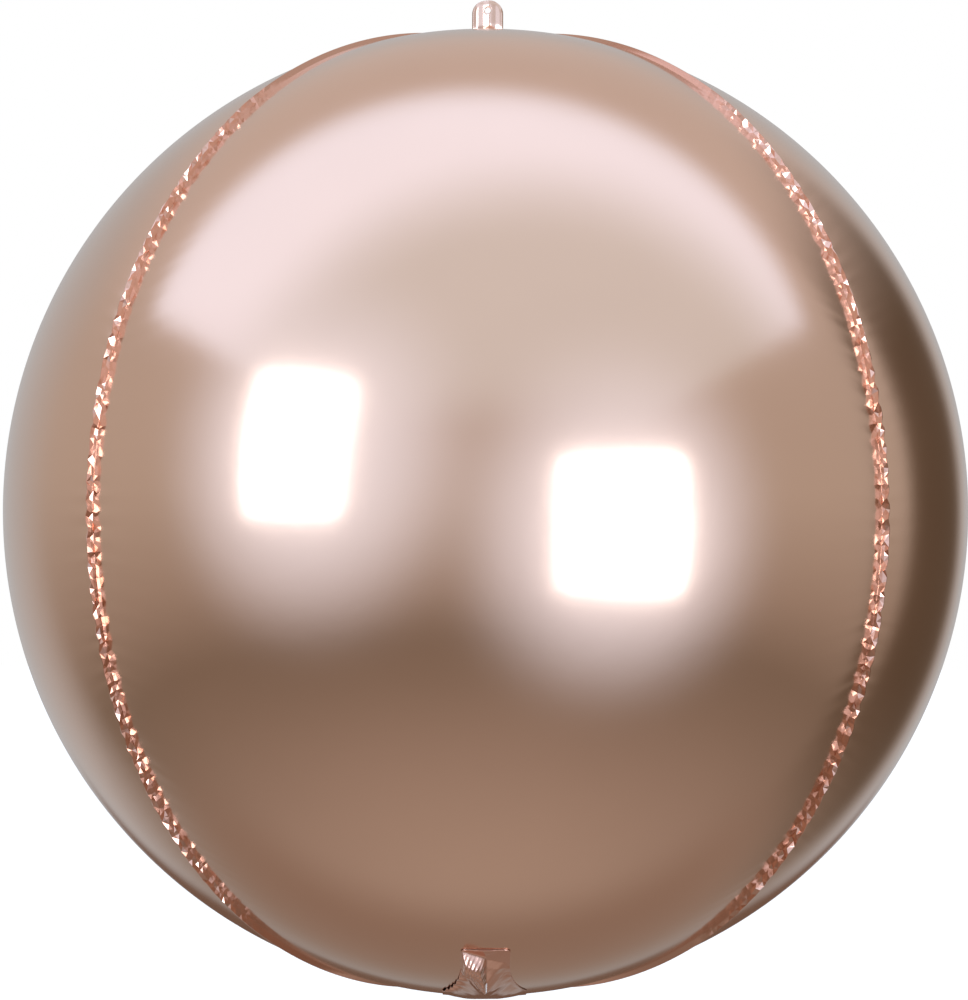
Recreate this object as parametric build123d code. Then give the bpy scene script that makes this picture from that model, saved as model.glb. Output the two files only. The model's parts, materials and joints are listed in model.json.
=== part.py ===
from build123d import *
from math import degrees, sin, sqrt
import os

# A round foil balloon made of four film gores, hung by a punched tab and filled through a folded tail.
# +X is to the right of the front gore, +Y runs from the front gore to the back one, +Z is up.
# The origin is the centre of the hanging hole. All sizes are in millimetres.

# Ball
ball_radius = 280.0          # pole to pole along the middle line of each gore
gore_bulge = 20.0            # how much tighter a gore is rounded across its width than along it
film = 0.5                   # wall of the metallised film
weld_margin = 3.8            # width of the welded edges that stand out along each seam
edge_reach = 281.5           # from the ball's centre; the welded edges lie down near the poles
margin_clearance = 1.5       # between the tab's or tail's side and the start of the welded edges
seam_run_top = 28.0          # how far out the top seams swing in from their 45-degree planes to the tab
seam_run_bottom = 69.0       # the same at the bottom, where they swing in to the tail

# Hanging tab
tab_width = 18.3
tab_height = 25.0            # above the top pole
tab_top_radius = 7.3         # rounding of the tab's two upper corners
hole_height = 19.0           # centre of the hanging hole above the top pole
hole_radius = 1.9

# Inflation tail, folded up against the front gore
tail_length = 190.0          # from its fold line, along the curve of the ball
tail_width = 25.0            # of the narrow strip at its open end
tail_mouth_length = 20.0     # of that narrow strip
tail_flare = 60.0            # length of the hollow curve from the root's width to the narrow strip's
tail_root_width = 46.0       # from the fold line to the hollow curve
tail_tip_radius = 3.0

# Flat self-closing valve: two clear films welded between the plies of the neck
valve_film = 0.3
valve_width = 17.0
valve_clearance = 0.5        # at each side of the valve, in the pocket between the plies
valve_short_of_tip = 30.0    # from the tail's open end to the valve's outer end
inner_valve_length = 70.0    # free length inside the ball
inner_valve_gap = 0.6        # from the inside of the film to the valve's crease

# Creases
tab_crease = 8.0             # from the top pole to the tab's fold line, above the gathered root
tail_crease = 3.5            # from the bottom pole to the tail's fold line
crease_gap = 2.5             # bare length of each crease, centred on its line

# Values worked out from the sizes above
cross_radius = ball_radius - gore_bulge
centre_z = -(hole_height + ball_radius)
far = 2 * ball_radius
ply_pair = 2 * (film + valve_film)
tail_radius = ball_radius + tail_crease
pocket_width = valve_width + 2 * valve_clearance
quarter_turn = 90.0


def prism(points, low, high):
    """An upright prism on a flat outline, from one height to another."""
    outline = make_face(Polyline(*points, close=True))
    return Pos(0, 0, low) * extrude(outline, amount=high - low)


def block(x, y, z):
    """A box given by its three (low, high) pairs."""
    middle = [(low + high) / 2 for low, high in (x, y, z)]
    size = [high - low for low, high in (x, y, z)]
    return Pos(*middle) * Box(*size)


def filled_gore(radius):
    """The full round body whose front and back have the shape of a gore with this cross radius."""
    spread = 55.0
    arc = CenterArc((0, gore_bulge), radius, quarter_turn - spread, 2 * spread)
    right, left = arc @ 0, arc @ 1
    outline = Polyline(left, (left.X, 0), (right.X, 0), right)
    return revolve(make_face([arc, outline]), Axis.X, 360)


def seam_paths(side):
    """The seams' plan from the tab or tail outwards: (path, low, high) for the top and bottom halves."""
    halves = []
    for tip, run, low, high in ((tab_width / 2, seam_run_top, 0, far),
                                (tail_root_width / 2, seam_run_bottom, -far, 0)):
        first = (0, -tip) if side else (tip, 0)
        halves.append(([first, (run, -run), (far, -far)], low, high))
    return halves


def mirrored(points):
    """The same outline points on the other side of the gore's middle, in the opposite order."""
    return [(-x, y) for x, y in reversed(points)]


def footprint(side):
    """The upright space that a gore's film keeps to, seen from above, facing -Y."""
    space = None
    for path, low, high in seam_paths(side):
        other = mirrored(path)
        half = prism(path + (other[:-1] if side else other), low, high)
        space = half if space is None else space + half
    return space


def film_side(start, end):
    """Step of one film thickness to the gore's side of a straight stretch of seam."""
    length = sqrt((end[0] - start[0]) ** 2 + (end[1] - start[1]) ** 2)
    return film * (end[1] - start[1]) / length, film * (start[0] - end[0]) / length


def seam_wall(path, low, high):
    """A thin upright wall on the gore's side of a seam, mitred where the seam bends."""
    start, bend, end = path
    x1, y1 = film_side(start, bend)
    x2, y2 = film_side(bend, end)
    share = film ** 2 / (film ** 2 + x1 * x2 + y1 * y2)
    mitre = (bend[0] + share * (x1 + x2), bend[1] + share * (y1 + y2))
    outline = [start, bend, end, (end[0] + x2, end[1] + y2), mitre, (start[0] + x1, start[1] + y1)]
    return prism(outline, low, high)


def tip_room(tip, side, low, high):
    """The space beside the tab or tail that the welded edges stay out of."""
    reach_out = tip + margin_clearance
    near, wide = (-reach_out, reach_out), (-far, far)
    return block(wide, near, (low, high)) if side else block(near, wide, (low, high))


def margin_zone(side):
    """Thin upright walls along both edges of a gore, stopping short of the tab and the tail."""
    zone = None
    for path, low, high in seam_paths(side):
        wall = seam_wall(path, low, high)
        tip = -path[0][1] if side else path[0][0]
        walls = (wall + mirror(wall, Plane.YZ)) - tip_room(tip, side, low, high)
        zone = walls if zone is None else zone + walls
    return zone & footprint(side)


def skin_and_edges(side):
    """A gore's round film with its flat welded edge strips, still filled on the inside."""
    skin = filled_gore(cross_radius) & footprint(side)
    edges = filled_gore(cross_radius + weld_margin) & margin_zone(side) & Sphere(edge_reach)
    return skin + edges


def side_gore():
    """A gore that tapers to a point beside the tab and beside the tail, facing -Y."""
    return skin_and_edges(True) - filled_gore(cross_radius - film)


def tab_flange():
    """Where the front gore turns up into the tab, below the crease."""
    top = ball_radius + tab_crease - crease_gap / 2
    return block((-tab_width / 2, tab_width / 2), (-film, 0), (ball_radius - 2 * film, top))


def tail_flange():
    """Where the front gore turns down into the neck, above the crease."""
    bottom = -ball_radius - tail_crease + crease_gap / 2
    half = tail_root_width / 2
    return block((-half, half), (-film - valve_film, 0), (bottom, -ball_radius + 2 * film))


def neck_pocket():
    """The flat passage through the neck that the valve sits in."""
    half = pocket_width / 2
    return block((-half, half), (-valve_film, valve_film), (-far, -ball_radius + 4 * film))


def front_gore():
    """A gore that closes both poles and carries one ply of the tab's and the tail's roots."""
    gore = skin_and_edges(False) + tab_flange() + tail_flange()
    return gore - filled_gore(cross_radius - film) - neck_pocket()


def tab_ply():
    """The front ply of the tab, above its crease, with the hanging hole."""
    bottom = ball_radius + tab_crease + crease_gap / 2
    top = ball_radius + tab_height
    plate = block((-tab_width / 2, tab_width / 2), (-film, 0), (bottom, top))
    corners = plate.edges().filter_by(Axis.Y).group_by(Axis.Z)[-1]
    plate = fillet(corners, tab_top_radius)
    hole = Pos(0, 0, ball_radius + hole_height) * Rot(quarter_turn, 0, 0) * Cylinder(hole_radius, 4 * film)
    return plate - hole


def reach(length):
    """How far forward a point of the tail is, this length along its curve from the fold line."""
    return -tail_radius * sin(length / tail_radius)


def tail_outline():
    """The tail's outline seen from below: flared at the root, slightly rounded at the open tip."""
    root, half = tail_root_width / 2, tail_width / 2
    narrow = tail_length - tail_mouth_length
    start, straight = -crease_gap / 2, reach(narrow - tail_flare)
    neck, tip = reach(narrow), reach(tail_length)
    right = [Line((root, start), (root, straight)),
             TangentArc((half, neck), (root, straight), tangent=(0, 1)),
             Line((half, neck), (half, tip))]
    left = [mirror(edge, Plane.YZ) for edge in right]
    ends = [Line((-root, start), (root, start)), Line((-half, tip), (half, tip))]
    body = extrude(make_face([*right, *left, *ends]), amount=-far)
    corners = body.edges().filter_by(Axis.Z).group_by(Axis.Y)[0]
    return fillet(corners, tail_tip_radius)


def layer(inner, outer):
    """A sleeve about the ball's left-to-right axis, between two radii."""
    return Rot(0, quarter_turn, 0) * (Cylinder(outer, far) - Cylinder(inner, far))


def tail_strip(width, length):
    """The upright block that holds a strip of this width, from the fold line along the tail."""
    return block((-width / 2, width / 2), (reach(length), -crease_gap / 2), (-far, 0))


def tail_ply(film_inner, weld_inner):
    """One ply of the tail: its film, and the strips along its sides that are welded to the other."""
    outline = tail_outline()
    sides = outline - tail_strip(pocket_width, tail_length + crease_gap)
    skin = layer(film_inner, film_inner + film) & outline
    return skin + (layer(weld_inner, weld_inner + valve_film) & sides)


def tail_valve_film(inner):
    """One clear film of the valve, where it lies in the tail."""
    strip = tail_strip(valve_width, tail_length - valve_short_of_tip)
    return layer(inner, inner + valve_film) & strip


def inner_valve_film(low_y):
    """One clear film of the valve, standing free inside the ball."""
    bottom = -ball_radius + film + inner_valve_gap
    half = valve_width / 2
    return block((-half, half), (low_y, low_y + valve_film), (bottom, bottom + inner_valve_length))


def make_nodes():
    """Every film piece, placed about the centre of the ball."""
    front, side = front_gore(), side_gore()
    tab = tab_ply()
    inside = tail_radius - ply_pair / 2
    half_turn = Rot(0, 0, 180)
    return {
        "front_gore": front,
        "back_gore": half_turn * front,
        "left_gore": Rot(0, 0, -90) * side,
        "right_gore": Rot(0, 0, 90) * side,
        "tab_front_ply": tab,
        "tab_back_ply": half_turn * tab,
        "tail_front_ply": tail_ply(inside, inside + film),
        "tail_back_ply": tail_ply(tail_radius + valve_film, tail_radius),
        "tail_valve_front_film": tail_valve_film(tail_radius - valve_film),
        "tail_valve_back_film": tail_valve_film(tail_radius),
        "inner_valve_front_film": inner_valve_film(-valve_film),
        "inner_valve_back_film": inner_valve_film(0.0),
    }


os.makedirs("parts", exist_ok=True)
for name, shape in make_nodes().items():
    export_step(Pos(0, 0, centre_z) * shape, f"parts/{name}.step")
tip_angle = degrees(tail_length / tail_radius)
print(f"ball centre z {centre_z:.2f} mm, tail tip {tip_angle:.1f} degrees from the bottom pole")
print(f"tab crease z {centre_z + ball_radius + tab_crease:.2f} mm")
print(f"tail crease z {centre_z - ball_radius - tail_crease:.2f} mm")
print(f"inner valve crease z {centre_z - ball_radius + film + inner_valve_gap:.2f} mm")
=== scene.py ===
import json
import math
import bpy
import numpy as np
from mathutils import Matrix, Vector
from mathutils.geometry import delaunay_2d_cdt


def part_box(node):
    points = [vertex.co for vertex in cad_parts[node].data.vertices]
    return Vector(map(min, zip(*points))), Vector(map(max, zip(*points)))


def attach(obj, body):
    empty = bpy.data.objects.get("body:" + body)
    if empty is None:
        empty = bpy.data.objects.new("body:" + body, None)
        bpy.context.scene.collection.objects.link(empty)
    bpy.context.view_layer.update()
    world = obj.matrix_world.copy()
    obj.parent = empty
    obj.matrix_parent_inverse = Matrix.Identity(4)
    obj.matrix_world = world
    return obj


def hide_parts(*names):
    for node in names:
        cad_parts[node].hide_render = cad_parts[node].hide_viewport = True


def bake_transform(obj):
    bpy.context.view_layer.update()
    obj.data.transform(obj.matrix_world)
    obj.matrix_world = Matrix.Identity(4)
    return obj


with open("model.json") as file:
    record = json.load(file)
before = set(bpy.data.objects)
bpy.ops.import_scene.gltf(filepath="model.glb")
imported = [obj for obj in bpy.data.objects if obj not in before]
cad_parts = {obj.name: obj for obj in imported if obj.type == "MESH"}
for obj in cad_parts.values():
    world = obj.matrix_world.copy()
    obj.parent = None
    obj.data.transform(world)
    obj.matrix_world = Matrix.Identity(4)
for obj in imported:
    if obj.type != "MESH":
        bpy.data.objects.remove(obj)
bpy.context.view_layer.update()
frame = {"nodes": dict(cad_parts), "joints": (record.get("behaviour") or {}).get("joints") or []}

# ---------------------------------------------------------------- sizes, in metres
MM = 0.001
joint_at = {j["name"]: Vector(j["pos_m"]) for j in frame["joints"]}
RADIUS = -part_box("front_gore")[0].y
TAB_CREASE = 8.0 * MM           # from the top pole to the tab's fold line
TAIL_CREASE = 3.5 * MM          # from the bottom pole to the tail's fold line
CREASE_HALF_GAP = 1.25 * MM     # half the bare length of a fold in the CAD
CENTRE = joint_at["tab_fold"] - Vector((0, 0, RADIUS + TAB_CREASE))
BULGE = 20 * MM                 # each gore is rounded this much tighter across than along
CROSS = RADIUS - BULGE
TAB_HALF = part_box("tab_front_ply")[1].x
TAB_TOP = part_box("tab_front_ply")[1].z - CENTRE.z - RADIUS
TAIL_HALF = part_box("tail_front_ply")[1].x
TAIL_RADIUS = RADIUS + TAIL_CREASE
FILM = 0.3 * MM                 # thickness given to every film
MARGIN = 3.8 * MM               # width of the welded edges
EDGE_REACH = RADIUS + 1.5 * MM  # the welded edges lie down near the poles

POLE_DIP = 2.0 * MM             # the skin dips a little round the top pole
POLE_DIP_REACH = 70 * MM
PUCKER_START = 33.0             # degrees from the nearer pole where puckers begin
PUCKER_FULL = 50.0              # and where they are at full strength


def smooth(value, low, high):
    """0 below low, 1 above high, with a soft change between them."""
    t = np.clip((np.asarray(value, float) - low) / (high - low), 0, 1)
    return t * t * (3 - 2 * t)


# ---------------------------------------------------------------- the ball's shape
def depth_at(x):
    """Radius of the ring that a gore's film follows at this distance from the gore's middle."""
    return BULGE + np.sqrt(np.maximum(CROSS ** 2 - x ** 2, 0))


def tip_half(lat):
    """Half the width between the seams at the poles: the tail's at the bottom, the tab's at the top."""
    return TAIL_HALF + (TAB_HALF - TAIL_HALF) * smooth(lat, -math.pi / 2, math.pi / 2)


def seam_distance(lat, side):
    """Distance of the seam from the gore's middle at these latitudes, found by repeated averaging."""
    tip, level = tip_half(lat), np.cos(lat)
    sign = -1 if side else 1
    first_guess = 0.8
    x = depth_at(0) * level * first_guess
    for _ in range(40):
        wanted = np.sqrt(np.maximum((depth_at(x) * level) ** 2 + sign * tip ** 2, 0))
        x = (x + wanted) / 2
    return x


def on_gore(lat, x):
    """Points and outward normals on a gore facing -Y, about the ball's centre."""
    depth = depth_at(x)
    lean = np.arcsin(np.clip(x / CROSS, -1, 1))
    points = np.stack([x, -depth * np.cos(lat), depth * np.sin(lat)], -1)
    normals = np.stack([np.sin(lean), -np.cos(lean) * np.cos(lat), np.cos(lean) * np.sin(lat)], -1)
    return points, normals


def dip(points, normals):
    """Lets the skin sink a little round the top pole."""
    reach = np.hypot(points[..., 0], points[..., 1])
    amount = POLE_DIP * np.exp(-(reach / POLE_DIP_REACH) ** 2) * (points[..., 2] > 0)
    return points - normals * amount[..., None]


def turned(vectors, quarter):
    """Vectors turned about Z by this many quarter turns."""
    x, y, z = vectors[..., 0], vectors[..., 1], vectors[..., 2]
    for _ in range(quarter % 4):
        x, y = -y, x
    return np.stack([x, y, z], -1)


class Seam:
    """One of the four seams, numbered round the ball from the front left one."""

    SAMPLES = 1600
    SEED = 40

    def __init__(self, number):
        side = -1 if number in (0, 2) else 1
        lat = np.linspace(math.pi / 2, -math.pi / 2, self.SAMPLES)
        points, normals = on_gore(lat, seam_distance(lat, False) * side)
        quarter = 0 if number < 2 else 2
        out = normals + self.side_gore_normals(points)
        out /= np.linalg.norm(out, axis=1)[:, None]
        points = dip(points, out)
        self.points, self.out = turned(points, quarter), turned(out, quarter)
        steps = np.linalg.norm(np.diff(self.points, axis=0), axis=1)
        self.length = np.concatenate([[0], np.cumsum(steps)])
        tangent = np.gradient(self.points, self.length, axis=0)
        across = np.cross(tangent, self.out)
        self.across = across / np.linalg.norm(across, axis=1)[:, None]
        flip = 1 if self.turns_onwards() else -1
        self.across *= flip
        polar = np.degrees(np.arccos(np.clip(self.points[:, 2] / RADIUS, -1, 1)))
        nearest = np.minimum(polar, 180 - polar)
        self.pucker = smooth(nearest, PUCKER_START, PUCKER_FULL)
        rng = np.random.default_rng(self.SEED + number)
        self.waves = [self.zigzag(rng, 3.0, 6.0), self.zigzag(rng, 3.4, 7.0)]

    def side_gore_normals(self, points):
        """Outward normals of the neighbouring side gore at points of the seam."""
        lean = np.arcsin(np.clip(points[:, 1] / CROSS, -1, 1))
        ring = np.hypot(points[:, 0], points[:, 2])
        return np.stack([np.cos(lean) * points[:, 0] / ring, np.sin(lean),
                         np.cos(lean) * points[:, 2] / ring], -1)

    def turns_onwards(self):
        """True if the side direction at the middle of the seam runs anticlockwise, seen from above."""
        middle = len(self.length) // 2
        at, way = self.points[middle], self.across[middle]
        return at[0] * way[1] - at[1] * way[0] > 0

    def zigzag(self, rng, shortest, longest):
        """Peaks of alternating sign at uneven places along the seam and a little past its end."""
        places = [0.0]
        while places[-1] < self.length[-1] + 40 * MM:
            places.append(places[-1] + rng.uniform(shortest, longest) * MM)
        signs = np.where(np.arange(len(places)) % 2 == 0, 1.0, -1.0)
        return np.array(places), signs * rng.uniform(0.45, 1.0, len(places))

    def wave(self, which, along):
        """Height of one of the seam's two zigzags at these lengths, from -1 to 1."""
        places, heights = self.waves[which]
        return np.interp(along, places, heights)

    def at(self, along, what):
        """A row of this seam's values at these lengths along it."""
        if what.ndim == 1:
            return np.interp(along, self.length, what)
        return np.stack([np.interp(along, self.length, what[:, i]) for i in range(3)], -1)

    def along_for(self, height):
        """Length along the seam at these heights."""
        order = np.argsort(self.points[:, 2])
        return np.interp(height, self.points[order, 2], self.length[order])


SEAMS = [Seam(number) for number in range(4)]


# ---------------------------------------------------------------- meshes
def mesh_object(name, points, faces, shade_smooth=True):
    """A mesh piece from points about the ball's centre."""
    mesh = bpy.data.meshes.new(name)
    placed = points + np.array(CENTRE)
    mesh.from_pydata(placed.tolist(), [], faces)
    mesh.validate()
    mesh.polygons.foreach_set("use_smooth", [shade_smooth] * len(mesh.polygons))
    piece = bpy.data.objects.new(name, mesh)
    bpy.context.scene.collection.objects.link(piece)
    return piece


def grid_faces(rows, columns, flip=False):
    """Quads of a grid of points."""
    index = np.arange(rows * columns).reshape(rows, columns)
    a, b = index[:-1, :-1].ravel(), index[:-1, 1:].ravel()
    c, d = index[1:, 1:].ravel(), index[1:, :-1].ravel()
    quads = np.stack([d, c, b, a] if flip else [a, b, c, d], -1)
    return quads.tolist()


def diamond_faces(rows, columns):
    """Triangles of a grid whose diagonals alternate, which crease it into diamonds."""
    faces = []
    for i in range(rows - 1):
        for j in range(columns - 1):
            a, b = i * columns + j, i * columns + j + 1
            d, c = a + columns, b + columns
            faces += [(a, b, c), (a, c, d)] if (i + j) % 2 else [(a, b, d), (b, c, d)]
    return faces


def thicken(piece, thickness=FILM, offset=-1.0):
    """Gives a sheet its film thickness: inwards with offset -1, to both sides with 0."""
    modifier = piece.modifiers.new("film", "SOLIDIFY")
    modifier.thickness = thickness
    modifier.offset = offset
    return piece


# ---------------------------------------------------------------- gores
GORE_ROWS = 640
GORE_COLUMNS = 75
EDGE_CROWDING = 1.6             # how strongly the columns crowd towards the seams
PUCKER_FOLD = 0.5 * MM          # sideways, right at the seam
PUCKER_SINK = 0.16 * MM
PUCKER_RIPPLE = 0.10 * MM       # the widest and faintest


def gore_skin(name, quarter, side):
    """The round film of one gore, with small puckers where the seams gather it."""
    top = math.acos(TAB_HALF / RADIUS) if side else math.pi / 2
    bottom = -math.acos(TAIL_HALF / RADIUS) if side else -math.pi / 2
    lat = np.linspace(top, bottom, GORE_ROWS)
    edge = seam_distance(lat, side)
    t = np.linspace(-1, 1, GORE_COLUMNS)
    across = np.sign(t) * (1 - (1 - np.abs(t)) ** EDGE_CROWDING)
    x = edge[:, None] * across[None, :]
    points, normals = on_gore(np.repeat(lat[:, None], GORE_COLUMNS, 1), x)
    points = dip(points, normals)
    points, normals = turned(points, quarter), turned(normals, quarter)
    for column, seam in ((0, SEAMS[quarter]), (-1, SEAMS[(quarter + 1) % 4])):
        along = seam.along_for(points[:, column, 2])[:, None]
        lean = np.arcsin(np.clip(x / CROSS, -1, 1))
        away = np.abs(lean - lean[:, column][:, None]) * CROSS
        strength = seam.at(along, seam.pucker)
        side_way = seam.at(along, seam.across)
        fold = PUCKER_FOLD * seam.wave(0, along) * strength * np.exp(-away / (3 * MM))
        sink = PUCKER_SINK * (1.2 + seam.wave(0, along + 2 * MM)) * strength * np.exp(-away / (6 * MM))
        ripple = PUCKER_RIPPLE * seam.wave(1, along) * strength * np.exp(-away / (14 * MM))
        points = points + side_way * fold[..., None] - normals * (sink + ripple)[..., None]
    faces = grid_faces(GORE_ROWS, GORE_COLUMNS, flip=True)
    return thicken(mesh_object(name, points.reshape(-1, 3), faces))


# ---------------------------------------------------------------- welded edges
FIN_STEP = 2.5 * MM             # length of a facet along the seam
FIN_ROWS = 3
FIN_SUNK = 0.5 * MM             # the edges start this far under the skin
FIN_LEAST = 1.5 * MM            # their least height, near the poles
PLEAT_SLANT = 2.4 * MM          # how far a pleat shifts along the seam over the edge's height
PLEAT_SWAY = 1.3 * MM           # sideways
ROOT_SWAY = 0.35 * MM
SLOW_SWAY = 0.35 * MM
TAB_RISE = 2.2 * MM             # extra height with which the edges meet the tab's sides
TAB_RISE_REACH = 8 * MM


def welded_edge(name, seam):
    """The flat welded margin along one seam, gathered into facets where the ball is widest."""
    count = int(seam.length[-1] / FIN_STEP)
    along = np.linspace(0, seam.length[-1], count)
    rise = np.linspace(0, 1, FIN_ROWS)
    s, r = np.meshgrid(along, rise)
    strength = seam.at(s, seam.pucker)
    rng = np.random.default_rng(int(1000 * seam.length[-1]) % 97)
    s = s + strength * rng.uniform(-0.8, 0.8, s.shape) * MM
    pleat = 0.6 * (seam.wave(0, s + PLEAT_SLANT * r) + seam.wave(1, s - PLEAT_SLANT * r))
    root = ROOT_SWAY * seam.wave(0, s) * (1 - r)
    sideways = strength * (root + PLEAT_SWAY * np.sqrt(r) * pleat)
    jitter = rng.uniform(-0.3, 0.3, s.shape) * MM * strength * (r > 0)
    slow = SLOW_SWAY * r * np.sin(s / (37 * MM) + seam.length[-1] * 9)
    base = seam.at(s, seam.points)
    reach = np.linalg.norm(base, axis=-1)
    height = np.clip(EDGE_REACH - reach, FIN_LEAST, MARGIN) + TAB_RISE * np.exp(-s / TAB_RISE_REACH)
    height = height * (1 - 0.12 * np.abs(pleat) * strength)
    points = base + seam.at(s, seam.out) * (r * (height + FIN_SUNK) - FIN_SUNK)[..., None]
    points = points + seam.at(s, seam.across) * (sideways + jitter + slow)[..., None]
    faces = diamond_faces(FIN_ROWS, count)
    piece = mesh_object(name, points.reshape(-1, 3), faces, shade_smooth=False)
    return thicken(piece, 2 * FILM, 0.0)


def folded_wave(value, pitch, shift):
    """A wave of straight slopes, from -1 to 1, which creases film into flat facets."""
    t = (value / pitch + shift) % 1.0
    return 4 * np.abs(t - 0.5) - 1


# ---------------------------------------------------------------- hanging tab
TAB_CORNER = 7.3 * MM           # rounding of the upper corners
TAB_FLARE_TOP = 6.5 * MM        # height at which the tab starts to flare into the seams
TAB_FLARE = 3.5 * MM            # how much wider each side is at the pole
HOLE_RADIUS = 1.95 * MM
TAB_ROOT = -POLE_DIP - 1 * MM   # the tab's film starts just under the skin
TAB_MESH = 0.62 * MM            # spacing of the tab's mesh
TAB_MESH_RIM = 0.45 * MM        # bare rim between the mesh's inner points and its outline
TAB_RIDGE = 3.4 * MM            # how far the upright crease stands forward
TAB_STREAK = 0.30 * MM
TAB_GATHER = 0.8 * MM           # the gathers at the root
TAB_KNOTS = 19


def tab_half_width(height):
    """Half the tab's width at a height above the pole: rounded above, flared into the seams below."""
    flare = TAB_FLARE * (max(TAB_FLARE_TOP - height, 0) / TAB_FLARE_TOP) ** 2
    above = max(height - (TAB_TOP - TAB_CORNER), 0)
    corner = TAB_CORNER - math.sqrt(max(TAB_CORNER ** 2 - above ** 2, 0))
    return TAB_HALF + flare - corner


def tab_sheet():
    """Points (x, height) and triangles of the tab's outline with its hole."""
    hole_height = -(CENTRE.z + RADIUS)
    levels = list(np.linspace(TAB_ROOT, TAB_TOP - TAB_CORNER, 40))
    levels += [TAB_TOP - TAB_CORNER + TAB_CORNER * math.sin(a) for a in np.linspace(0.12, math.pi / 2, 14)]
    right = [(tab_half_width(h), h) for h in levels]
    left = [(-x, h) for x, h in reversed(right)]
    flat_top = [(x * MM, TAB_TOP) for x in (1.0, 0.0, -1.0)]
    base = [(x, TAB_ROOT) for x in np.linspace(left[-1][0], right[0][0], 20)[1:-1]]
    outline = right + flat_top + left + base
    ring = [(HOLE_RADIUS * math.cos(a), hole_height + HOLE_RADIUS * math.sin(a))
            for a in np.linspace(0, 2 * math.pi, 33)[:-1]]
    inside = []
    for i, height in enumerate(np.arange(TAB_ROOT + TAB_MESH, TAB_TOP - 0.4 * MM, TAB_MESH)):
        half = tab_half_width(height) - TAB_MESH_RIM
        shift = TAB_MESH / 2 if i % 2 else 0
        for x in np.arange(-half + shift, half, TAB_MESH):
            if math.hypot(x, height - hole_height) > HOLE_RADIUS + TAB_MESH_RIM:
                inside.append((x, height))
    points = outline + ring + inside
    loops = [list(range(len(outline))), list(range(len(outline), len(outline) + len(ring)))[::-1]]
    flat, _, faces, *_ = delaunay_2d_cdt([Vector(p) for p in points], [], loops, 2, 1e-9)
    flat = np.array([[p.x, p.y] for p in flat])
    middle = np.array([flat[list(f)].mean(0) for f in faces])
    in_hole = np.hypot(middle[:, 0], middle[:, 1] - hole_height) < HOLE_RADIUS * 0.97
    return flat, [tuple(f) for f, hole in zip(faces, in_hole) if not hole]


def tab_ply(name, facing, flat, faces):
    """One ply of the tab: bent along an upright crease, gathered at the root, thinner at its weld."""
    x, height = flat[:, 0], flat[:, 1]
    half = np.array([tab_half_width(h) for h in height])
    rim = np.minimum(half - np.abs(x), TAB_TOP - height)
    pillow = 0.20 * MM + 0.40 * MM * smooth(rim, 0.9 * MM, 2.2 * MM) * smooth(height, 6 * MM, 12 * MM)
    upright = smooth(height, 4 * MM, 11 * MM)
    from_ridge = np.sqrt((x - 1.0 * MM) ** 2 + (0.7 * MM) ** 2)
    ridge = -TAB_RIDGE * (1 - from_ridge / TAB_HALF) * (0.2 + 0.8 * upright)
    streak = TAB_STREAK * folded_wave(x, 7.4 * MM, 0.32) * upright
    signs = np.where(np.arange(TAB_KNOTS) % 2, 1, -1)
    heights = np.random.default_rng(5).uniform(0.4, 1.0, TAB_KNOTS) * signs
    knots = np.linspace(-18, 18, TAB_KNOTS) * MM
    gather = TAB_GATHER * np.interp(x + 0.1 * height, knots, heights) * (1 - smooth(height, 1 * MM, 8 * MM))
    y = ridge + streak + gather + facing * pillow
    points = np.stack([x, y, RADIUS + height], -1)
    ordered = [f[::-1] for f in faces] if facing > 0 else faces
    return thicken(mesh_object(name, points, ordered))


# ---------------------------------------------------------------- inflation tail
TAIL_END = 190 * MM             # length of the tail from its fold
TAIL_FLARE = 60 * MM            # length of the hollow curve from the wide root to the narrow strip
TAIL_NARROW = TAIL_END - 20 * MM    # where the curve meets the narrow strip
TAIL_TIP_HALF = 12.5 * MM       # half the width of the narrow strip
TAIL_TIP_RADIUS = 3 * MM
TAIL_BEND = 1.2 * MM            # radius of the fold
TAIL_ROOT = 4.7 * MM            # length of the tail's film above its fold, up to the ball's skin
TAIL_WELD = 3.6 * MM            # width of the welds along the tail's sides
TAIL_FILM = 0.2 * MM            # thickness given to each of its plies
SKIN_CLEARANCE = 0.15 * MM      # least gap between the tail and the ball
SKIN_REST = 0.35 * MM           # usual gap from the ball to the middle of the tail's thickness
ON_BALL = 25 * MM               # length from the fold at which the tail has come down on the ball
NECK_PUFF = 1.2 * MM            # how far the middle of the tail stands off over the neck
TAIL_PUFF = 6.8 * MM            # and how much further it does before the open end
CORNER_LIFT = 6.0 * MM          # height of the loose corner near the open end
BEAD_HEIGHT = 0.6 * MM          # of the small beads along the tail's left side
BEAD_PITCH = 8.5 * MM
VALVE_SHORT_OF_TIP = 30 * MM
VALVE_FILM = 0.1 * MM


def tail_half_width(u):
    """Half the tail's width at a length from its fold."""
    drop = TAIL_HALF - TAIL_TIP_HALF
    arc = (TAIL_FLARE ** 2 + drop ** 2) / (2 * drop)
    before = np.clip(TAIL_NARROW - u, 0, TAIL_FLARE)
    hollow = TAIL_TIP_HALF + arc - np.sqrt(arc ** 2 - before ** 2)
    tip = np.clip((u - (TAIL_END - TAIL_TIP_RADIUS)) / TAIL_TIP_RADIUS, 0, 1)
    return hollow - TAIL_TIP_RADIUS * (1 - np.sqrt(np.clip(1 - tip ** 2, 0, 1)))


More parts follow.
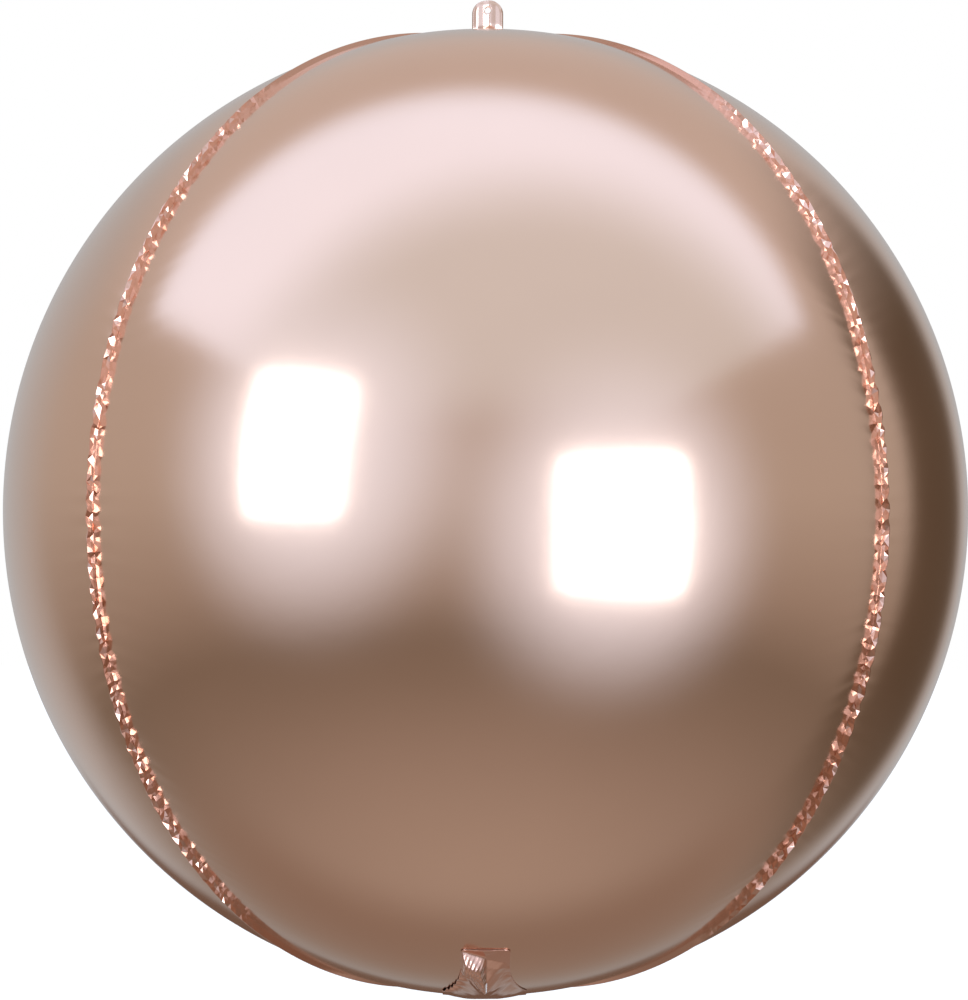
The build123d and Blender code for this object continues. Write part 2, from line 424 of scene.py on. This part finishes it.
def tail_frame(u):
    """Points on the tail's middle surface at x = 0, and its outward normals."""
    bend = TAIL_BEND * math.pi / 2
    turn = np.clip((u + bend) / bend, 0, 1) * math.pi / 2
    angle = (np.maximum(u, 0) + TAIL_BEND) / TAIL_RADIUS
    flange = u < 0
    rise = np.maximum(-u - bend, 0)
    y = np.where(flange, -TAIL_BEND + TAIL_BEND * np.cos(turn), -TAIL_RADIUS * np.sin(angle))
    z = np.where(flange, -TAIL_RADIUS + TAIL_BEND - TAIL_BEND * np.sin(turn) + rise,
                 -TAIL_RADIUS * np.cos(angle))
    normal_y = np.where(flange, np.cos(turn), -np.sin(angle))
    normal_z = np.where(flange, -np.sin(turn), -np.cos(angle))
    zero = np.zeros_like(u)
    return np.stack([zero, y, z], -1), np.stack([zero, normal_y, normal_z], -1)


def tail_crumple(u, x):
    """How far the film stands off the tail's middle surface, away from the ball."""
    rng = np.random.default_rng(23)
    total = np.zeros_like(u)
    for pitch, size in ((31, 0.5), (23, 0.42), (15, 0.34), (11, 0.22), (7.5, 0.14)):
        way = rng.uniform(0, math.pi)
        run = u * math.cos(way) + x * math.sin(way)
        total += size * MM * folded_wave(run, pitch * MM, rng.uniform())
    loose = (0.12 + 0.6 * smooth(u, 125 * MM, 165 * MM)) * (1 - 0.8 * smooth(u, TAIL_END - 9 * MM, TAIL_END))
    standing = total * loose + loose_corner(u, x) + tail_puff(u, x) + SKIN_REST - skin_gap(x)
    return standing * smooth(u, 2 * MM, ON_BALL)


def tail_puff(u, x):
    """The soft bulge along the middle of the tail, whose sides lie on the ball."""
    from_side = tail_half_width(u) - np.abs(x)
    height = NECK_PUFF * smooth(u, 20 * MM, 60 * MM)
    height += TAIL_PUFF * np.clip((u - 92 * MM) / (58 * MM), 0, 1) ** 1.5
    return height * (1 - smooth(u, 152 * MM, 184 * MM)) * smooth(from_side, 0, 16 * MM)


def skin_gap(x):
    """Distance from the tail's middle surface in to the ball's skin."""
    return TAIL_RADIUS - RADIUS + CROSS - np.sqrt(CROSS ** 2 - x ** 2)


def loose_corner(u, x):
    """The loose corner of the tail that stands off in flat facets near the open end."""
    slant = 0.6 * (x + 7 * MM)
    above, below = (186 * MM - slant - u) / (5.0 * MM), (u - 150 * MM + slant) / (26 * MM)
    left, right = (x + 12.3 * MM) / (2 * MM), (0.5 * MM - x) / (3 * MM)
    height = np.clip(np.minimum(np.minimum(above, below), np.minimum(left, right)), 0, 1)
    split = 1 + 0.10 * folded_wave(x + 0.8 * u, 5.3 * MM, 0.1) + 0.05 * folded_wave(x - u, 3.1 * MM, 0.3)
    return CORNER_LIFT * height * split


TAIL_ROWS = 330
TAIL_COLUMNS = 61


def tail_ply(name, facing):
    """One ply of the tail, welded to the other along its sides and open at its tip."""
    u = np.linspace(-TAIL_ROOT, TAIL_END, TAIL_ROWS)
    half = tail_half_width(u)
    t = np.linspace(-1, 1, TAIL_COLUMNS)
    t = np.sign(t) * (1 - (1 - np.abs(t)) ** 1.25)
    x = half[:, None] * t[None, :]
    uu = np.repeat(u[:, None], TAIL_COLUMNS, 1)
    edge = half[:, None] - np.abs(x)
    inner = smooth(edge, TAIL_WELD, TAIL_WELD + 3 * MM)
    mouth = smooth(uu, TAIL_END - 14 * MM, TAIL_END)
    open_by = 0.15 * MM + inner * (0.20 * MM + 0.05 * MM * mouth)
    beads = np.sin(2 * math.pi * uu / BEAD_PITCH + 0.8 * np.sin(uu / (5 * MM)))
    gathered = smooth(uu, 105 * MM, 118 * MM) * (1 - smooth(uu, 160 * MM, 172 * MM)) * (x < 0)
    bead = BEAD_HEIGHT * (1 + beads) * (1 - smooth(edge, 1.5 * MM, 6 * MM)) * gathered
    common = tail_crumple(uu, x) + bead
    middle, normal = tail_frame(u)
    lowest = SKIN_CLEARANCE - skin_gap(x) + (0.5 + 0.5 * facing) * 2.4 * TAIL_FILM
    offset = common + facing * open_by
    offset = np.where(uu > ON_BALL, np.maximum(offset, lowest), offset)
    points = middle[:, None, :] + normal[:, None, :] * offset[..., None]
    points[..., 0] = x
    faces = grid_faces(TAIL_ROWS, TAIL_COLUMNS, flip=facing < 0)
    return thicken(mesh_object(name, points.reshape(-1, 3), faces), TAIL_FILM)


def valve_strip(name, facing):
    """One clear film of the valve, lying between the plies of the tail."""
    half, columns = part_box("tail_valve_front_film")[1].x, 15
    u = np.linspace(1.5 * MM, TAIL_END - VALVE_SHORT_OF_TIP, 220)
    x = np.repeat(np.linspace(-half, half, columns)[None, :], len(u), 0)
    uu = np.repeat(u[:, None], columns, 1)
    middle, normal = tail_frame(u)
    lowest = SKIN_CLEARANCE - skin_gap(x) + 1.2 * TAIL_FILM
    resting = tail_crumple(uu, x)
    offset = np.where(uu > ON_BALL, np.maximum(resting, lowest), resting) + facing * 0.08 * MM
    points = middle[:, None, :] + normal[:, None, :] * offset[..., None]
    points[..., 0] = x
    faces = grid_faces(len(u), columns, flip=facing < 0)
    return thicken(mesh_object(name, points.reshape(-1, 3), faces), VALVE_FILM)


# ---------------------------------------------------------------- materials
def new_material(name):
    """A material with its node tree and its main shader."""
    material = bpy.data.materials.new(name)
    material.use_nodes = True
    tree = material.node_tree
    return material, tree, tree.nodes["Principled BSDF"]


def foil(name, colour, roughness, bump, bump_scale, spread):
    """Metallised film: a soft mirror whose lacquer and gloss vary slightly over its surface."""
    material, tree, shader = new_material(name)
    nodes, links = tree.nodes, tree.links
    gloss_spread = 0.02
    shader.inputs["Metallic"].default_value = 1.0
    shader.inputs["Coat Weight"].default_value = 0.35
    shader.inputs["Coat Roughness"].default_value = 0.06
    place = nodes.new("ShaderNodeTexCoord")
    cloud = nodes.new("ShaderNodeTexNoise")
    cloud.inputs["Scale"].default_value = 9.0
    cloud.inputs["Detail"].default_value = 3.0
    links.new(place.outputs["Object"], cloud.inputs["Vector"])
    tint = nodes.new("ShaderNodeValToRGB")
    tint.color_ramp.elements[0].position = 0.3
    tint.color_ramp.elements[0].color = (*[c * (1 - spread) for c in colour], 1)
    tint.color_ramp.elements[1].position = 0.7
    tint.color_ramp.elements[1].color = (*[min(c * (1 + spread), 1) for c in colour], 1)
    links.new(cloud.outputs["Fac"], tint.inputs["Fac"])
    links.new(tint.outputs["Color"], shader.inputs["Base Color"])
    gloss = nodes.new("ShaderNodeMapRange")
    gloss.inputs["To Min"].default_value = roughness - gloss_spread
    gloss.inputs["To Max"].default_value = roughness + gloss_spread
    links.new(cloud.outputs["Fac"], gloss.inputs["Value"])
    links.new(gloss.outputs["Result"], shader.inputs["Roughness"])
    grain = nodes.new("ShaderNodeTexNoise")
    grain.inputs["Scale"].default_value = bump_scale
    grain.inputs["Detail"].default_value = 4.0
    links.new(place.outputs["Object"], grain.inputs["Vector"])
    relief = nodes.new("ShaderNodeBump")
    relief.inputs["Strength"].default_value = 1.0
    relief.inputs["Distance"].default_value = bump
    links.new(grain.outputs["Fac"], relief.inputs["Height"])
    links.new(relief.outputs["Normal"], shader.inputs["Normal"])
    return material


def clear_film():
    """The valve's clear film, with faint haze."""
    material, tree, shader = new_material("clear_film")
    nodes, links = tree.nodes, tree.links
    shader.inputs["Base Color"].default_value = (0.86, 0.87, 0.88, 1)
    shader.inputs["Roughness"].default_value = 0.12
    place = nodes.new("ShaderNodeTexCoord")
    haze = nodes.new("ShaderNodeTexNoise")
    haze.inputs["Scale"].default_value = 60.0
    links.new(place.outputs["Object"], haze.inputs["Vector"])
    cover = nodes.new("ShaderNodeMapRange")
    cover.inputs["To Min"].default_value = 0.25
    cover.inputs["To Max"].default_value = 0.45
    links.new(haze.outputs["Fac"], cover.inputs["Value"])
    links.new(cover.outputs["Result"], shader.inputs["Alpha"])
    return material


skin_foil = foil("rose_gold_foil", (0.84, 0.585, 0.455), 0.17, 0.00004, 55.0, 0.02)
# painted shade: the welded edges and the tail are the skin's own film, given a deeper, redder copper that
# paints in the light bounced between crinkled folds
shaded_weld_foil = foil("welded_foil_painted_shade", (0.82, 0.49, 0.38), 0.12, 0.00001, 420.0, 0.05)
tab_foil = foil("tab_foil", (0.84, 0.57, 0.45), 0.15, 0.00003, 260.0, 0.03)
valve_clear = clear_film()


def coat(piece, material):
    """Gives a piece one material."""
    piece.data.materials.clear()
    piece.data.materials.append(material)


def dress(piece, material, slot, body, *nodes):
    """Gives a piece its material and its body, and hides the CAD nodes that it stands for."""
    coat(piece, material)
    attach(piece, body)
    if nodes:
        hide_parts(*nodes)
    return piece


def dress_folded(piece, material, slot, body, start, end, *nodes):
    """Gives a piece that bends across a fold between the ball and another body its material, bakes its
    placement into its mesh and hides the CAD nodes that it stands for.
    """
    coat(piece, material)
    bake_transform(piece)
    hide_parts(*nodes)
    return piece


for gore, (node, is_side) in enumerate((("front_gore", False), ("right_gore", True),
                                        ("back_gore", False), ("left_gore", True))):
    dress(gore_skin(node + "_skin", gore, is_side), skin_foil, "gore_film", "ball", node)
for seam, name in zip(SEAMS, ("front_left", "front_right", "back_right", "back_left")):
    dress(welded_edge("weld_" + name, seam), shaded_weld_foil, "weld_film", "ball")

tab_line, tail_line = joint_at["tab_fold"], joint_at["tail_fold"]
across_fold = Vector((0, 0, CREASE_HALF_GAP))
tab_flat, tab_faces = tab_sheet()
for ply_name, facing in (("front", -1), ("back", 1)):
    dress_folded(tab_ply(f"tab_{ply_name}_film", facing, tab_flat, tab_faces), tab_foil, "weld_film",
                 "tab", tab_line - across_fold, tab_line + across_fold, f"tab_{ply_name}_ply")
tail_start = tail_line + Vector((0, 0, TAIL_BEND))
tail_end = tail_line + Vector((0, -TAIL_BEND, 0))
for ply_name, facing in (("front", -1), ("back", 1)):
    dress_folded(tail_ply(f"tail_{ply_name}_film", facing), shaded_weld_foil, "weld_film",
                 "tail", tail_start, tail_end, f"tail_{ply_name}_ply")
    dress(valve_strip(f"valve_{ply_name}_strip", facing), valve_clear, "valve_film", "tail",
          f"tail_valve_{ply_name}_film")
    coat(frame["nodes"][f"inner_valve_{ply_name}_film"], valve_clear)


# ---------------------------------------------------------------- floor, light and camera
FLOOR_DROP = 1.25               # from the ball's lowest point to the floor
WINDOW_DISTANCE = 2.2
DAYLIGHT = (0.88, 0.96, 1.10)


def floor():
    """A plain pale floor under the hanging ball."""
    material, tree, shader = new_material("pale_floor")
    shader.inputs["Base Color"].default_value = (0.86, 0.855, 0.85, 1)
    shader.inputs["Roughness"].default_value = 0.7
    shader.inputs["Emission Color"].default_value = (1.0, 0.975, 0.94, 1)
    shader.inputs["Emission Strength"].default_value = 0.38
    bpy.ops.mesh.primitive_plane_add(size=30, location=(0, 0, CENTRE.z - RADIUS - FLOOR_DROP))
    ground = bpy.context.object
    ground.name = "floor"
    ground.data.materials.append(material)
    ground.visible_glossy = False


def direction(azimuth, elevation):
    """Unit vector; azimuth 0 is towards -Y and 90 towards +X, in degrees."""
    a, e = math.radians(azimuth), math.radians(elevation)
    return Vector((math.sin(a) * math.cos(e), -math.cos(a) * math.cos(e), math.sin(e)))


def window(name, azimuth, elevation, width, height, watts):
    """A soft rectangular light facing the ball; width and height are angles in degrees."""
    data = bpy.data.lights.new(name, "AREA")
    data.shape = "RECTANGLE"
    data.size = 2 * WINDOW_DISTANCE * math.tan(math.radians(width / 2))
    data.size_y = 2 * WINDOW_DISTANCE * math.tan(math.radians(height / 2))
    data.energy = watts
    data.color = DAYLIGHT
    light = bpy.data.objects.new(name, data)
    toward = direction(azimuth, elevation)
    light.location = CENTRE + toward * WINDOW_DISTANCE
    light.rotation_euler = toward.to_track_quat("Z", "Y").to_euler()
    light.visible_camera = False
    bpy.context.scene.collection.objects.link(light)


class Shade:
    """Small helpers that build the studio's surroundings from nodes."""

    def __init__(self, tree):
        self.tree = tree

    def math(self, operation, first, second=None):
        """A sum, product or the like of two inputs, each a number or another node's output."""
        node = self.tree.nodes.new("ShaderNodeMath")
        node.operation = operation
        for socket, value in zip(node.inputs, (first, second)):
            if isinstance(value, (int, float)):
                socket.default_value = value
            elif value is not None:
                self.tree.links.new(value, socket)
        return node.outputs[0]

    def step(self, value, low, high):
        """0 to 1 as value goes from low to high, softly; low may be the larger one."""
        node = self.tree.nodes.new("ShaderNodeMapRange")
        node.interpolation_type = "SMOOTHSTEP"
        self.tree.links.new(value, node.inputs["Value"])
        node.inputs["From Min"].default_value = min(low, high)
        node.inputs["From Max"].default_value = max(low, high)
        node.inputs["To Min"].default_value = 0 if low < high else 1
        node.inputs["To Max"].default_value = 1 if low < high else 0
        return node.outputs["Result"]

    def product(self, *values):
        """All the values multiplied together."""
        total = values[0]
        for value in values[1:]:
            total = self.math("MULTIPLY", total, value)
        return total

    def mix(self, share, below, above):
        """A colour that goes from below to above as the share goes from 0 to 1."""
        node = self.tree.nodes.new("ShaderNodeMix")
        node.data_type = "RGBA"
        for socket, value in ((node.inputs[0], share), (node.inputs[6], below), (node.inputs[7], above)):
            if isinstance(value, tuple):
                socket.default_value = (*value, 1)
            else:
                self.tree.links.new(value, socket)
        return node.outputs[2]

    def dot(self, vector, axis):
        """Cosine of the angle between a direction and a fixed axis."""
        node = self.tree.nodes.new("ShaderNodeVectorMath")
        node.operation = "DOT_PRODUCT"
        self.tree.links.new(vector, node.inputs[0])
        node.inputs[1].default_value = Vector(axis).normalized()
        return node.outputs["Value"]


def surroundings():
    """A soft room: bright overhead panel, warm walls, darker below, pale backdrop."""
    world = bpy.data.worlds.new("studio")
    bpy.context.scene.world = world
    world.use_nodes = True
    tree = world.node_tree
    shade = Shade(tree)
    way = tree.nodes.new("ShaderNodeTexCoord").outputs["Generated"]
    split = tree.nodes.new("ShaderNodeSeparateXYZ")
    tree.links.new(way, split.inputs[0])
    x, y, z = split.outputs
    walls = tree.nodes.new("ShaderNodeValToRGB")
    levels = ((-1.0, (0.43, 0.37, 0.33)), (-0.8, (0.34, 0.285, 0.25)), (-0.6, (0.26, 0.215, 0.18)),
              (-0.45, (0.22, 0.18, 0.145)), (-0.25, (0.36, 0.31, 0.27)), (0.05, (0.50, 0.46, 0.42)),
              (0.4, (0.52, 0.48, 0.45)), (0.6, (0.62, 0.56, 0.53)))
    stops = walls.color_ramp.elements
    while len(stops) < len(levels):
        stops.new(0.5)
    for stop, (level, colour) in zip(stops, levels):
        stop.position = (level + 1) / 2
        stop.color = (*colour, 1)
    half_height = shade.math("ADD", shade.math("MULTIPLY", z, 0.5), 0.5)
    tree.links.new(half_height, walls.inputs["Fac"])
    colour = walls.outputs["Color"]

    low_back = shade.product(shade.step(y, 0.02, 0.40), shade.step(z, -0.55, -0.85))
    colour = shade.mix(low_back, colour, (0.29, 0.22, 0.18))

    depth = shade.math("MAXIMUM", y, 0.05)
    sideways = shade.math("DIVIDE", x, depth)
    level = shade.math("ABSOLUTE", z)
    backdrop = shade.product(shade.step(sideways, 0.95, 0.40), shade.step(sideways, -2.2, -0.7),
                             shade.step(y, 0.05, 0.3), shade.step(level, 0.75, 0.35))
    colour = shade.mix(backdrop, colour, (0.50, 0.51, 0.52))
    skirting = shade.product(shade.step(shade.math("ABSOLUTE", sideways), 0.55, 0.35),
                             shade.step(y, 0.5, 0.7),
                             shade.step(z, -0.22, -0.32), shade.step(z, -0.56, -0.50))
    colour = shade.mix(skirting, colour, (0.16, 0.09, 0.06))
    curtain = shade.product(shade.step(sideways, 0.60, 0.95), shade.step(sideways, 3.6, 2.2),
                            shade.step(y, 0.05, 0.2), shade.step(level, 0.75, 0.30))
    colour = shade.mix(curtain, colour, (0.11, 0.08, 0.055))

    up = shade.math("MAXIMUM", z, 0.02)
    across = shade.math("ABSOLUTE", shade.math("DIVIDE", x, up))
    ahead = shade.math("DIVIDE", y, up)
    aslant = shade.math("DIVIDE", shade.math("ADD", shade.math("MULTIPLY", x, 0.08), y), up)
    panel = shade.product(shade.step(z, 0.02, 0.06), shade.step(across, 1.98, 1.70),
                          shade.step(ahead, -3.3, -1.5), shade.step(aslant, 0.47, 0.20))
    nearness = shade.math("SUBTRACT", y, shade.math("MULTIPLY", x, 0.22))
    panel_colour = shade.mix(shade.step(nearness, -0.50, -0.02), (0.73, 0.80, 0.87), (1.10, 1.27, 1.60))
    colour = shade.mix(panel, colour, panel_colour)

    for azimuth, elevation in ((-42, 12), (30, -2)):
        glow = shade.step(shade.dot(way, direction(azimuth, elevation)), 0.66, 1.0)
        colour = shade.mix(shade.product(glow, glow), colour, (0.95, 1.10, 1.36))
    lamp = tree.nodes["Background"]
    tree.links.new(colour, lamp.inputs["Color"])
    plain = tree.nodes.new("ShaderNodeBackground")
    plain.inputs["Color"].default_value = (1, 1, 1, 1)
    rays = tree.nodes.new("ShaderNodeLightPath")
    both = tree.nodes.new("ShaderNodeMixShader")
    tree.links.new(rays.outputs["Is Camera Ray"], both.inputs[0])
    tree.links.new(lamp.outputs[0], both.inputs[1])
    tree.links.new(plain.outputs[0], both.inputs[2])
    tree.links.new(both.outputs[0], tree.nodes["World Output"].inputs["Surface"])


VIEW_DISTANCE = 3.8 * RADIUS
VIEW_AZIMUTH = -0.36            # degrees
VIEW_ELEVATION = 0.4
VIEW_TURN = (0.343, 0.05, 0.25)     # degrees about the camera's own axes
LONG_SIDE_MM = 36.0
LENS_MM = 63.88


def camera():
    """Level with the ball's middle, which sits a little below the picture's centre."""
    data = bpy.data.cameras.new("view")
    data.sensor_width = LONG_SIDE_MM
    data.lens = LENS_MM
    eye = bpy.data.objects.new("view", data)
    bpy.context.scene.collection.objects.link(eye)
    toward = direction(VIEW_AZIMUTH, VIEW_ELEVATION)
    eye.location = CENTRE + toward * VIEW_DISTANCE
    aim = toward.to_track_quat("Z", "Y").to_matrix()
    for degrees, axis in zip(VIEW_TURN, "XYZ"):
        aim = aim @ Matrix.Rotation(math.radians(degrees), 3, axis)
    eye.rotation_euler = aim.to_euler()
    bpy.context.scene.camera = eye


floor()
surroundings()
window("left_window", azimuth=-43, elevation=12.5, width=22.5, height=26, watts=10.5)
window("right_window", azimuth=29.5, elevation=-2.2, width=28, height=26, watts=13)
window("rear_window", azimuth=180, elevation=0, width=15, height=17, watts=4.4)
camera()
bpy.context.scene.view_settings.view_transform = "Standard"
